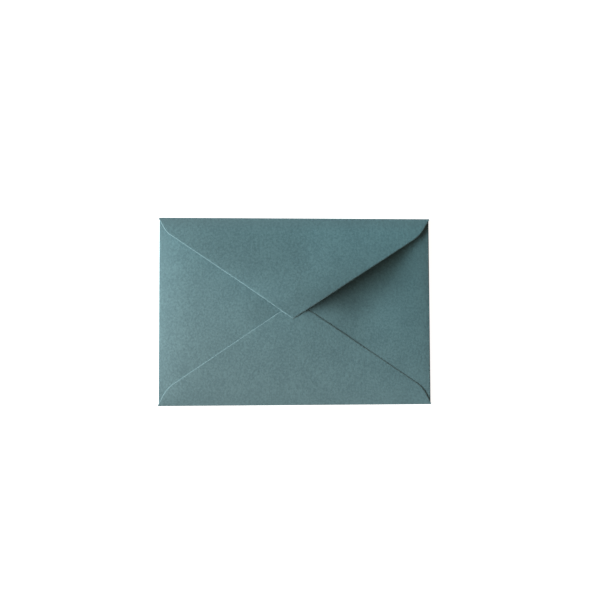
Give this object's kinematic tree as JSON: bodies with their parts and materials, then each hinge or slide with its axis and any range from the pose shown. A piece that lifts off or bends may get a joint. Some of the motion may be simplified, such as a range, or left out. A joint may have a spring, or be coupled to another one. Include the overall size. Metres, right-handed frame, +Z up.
{
  "type": "paper envelope",
  "caption": "Empty rectangular paper envelope, folded from one sheet, with a pointed unsealed flap over a glued pocket.",
  "frame": {"origin": "on the ground under the middle of the front panel, with the envelope lying flap side up", "axes": "+X along the long side, +Y from the bottom fold to the top flap's fold, +Z up out of the flap side"},
  "size_m": [0.16, 0.11, 0.0098],
  "materials": {
    "paper": "matte"
  },
  "bodies": {
    "root": {"envelope": "paper"}
  },
  "joints": []
}
